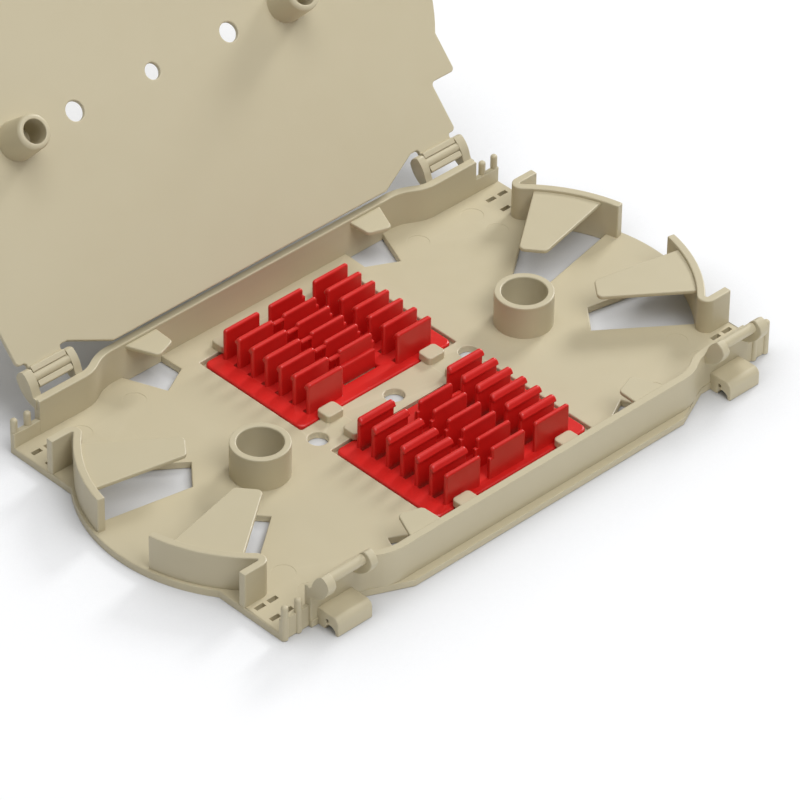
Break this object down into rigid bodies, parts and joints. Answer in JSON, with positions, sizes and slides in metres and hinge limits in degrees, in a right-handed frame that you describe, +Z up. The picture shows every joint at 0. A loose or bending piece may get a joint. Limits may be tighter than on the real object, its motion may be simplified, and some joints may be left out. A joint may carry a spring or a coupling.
{
  "type": "fibre splice tray",
  "caption": "Shallow moulded splice tray with an open hinged lid, round end bobbins, retaining leaves, snap hooks and finned splice holders, for storing spliced optical fibre and its slack.",
  "frame": {"origin": "centre of the middle fixing hole on the top face of the tray's floor", "axes": "+X along the tray, +Y towards the hinged side with the open lid, +Z up out of the floor"},
  "size_m": [0.1786, 0.1796, 0.0937],
  "materials": {
    "tray_plastic": "satin moulded ABS, warm beige",
    "lid_plastic": "satin moulded ABS, warm beige",
    "holder_plastic": "semi-gloss moulded plastic, signal red"
  },
  "bodies": {
    "tray_body": {"tray": "tray_plastic", "splice_holder_rear": "holder_plastic", "splice_holder_front": "holder_plastic"},
    "lid_body": {"lid": "lid_plastic"}
  },
  "joints": [
    {"name": "lid_hinge", "type": "hinge", "parent": "tray_body", "child": "lid_body", "pos_m": [0, 0.0516, 0.0129], "axis": [1, 0, 0], "range_deg": [0, 132.5]}
  ]
}
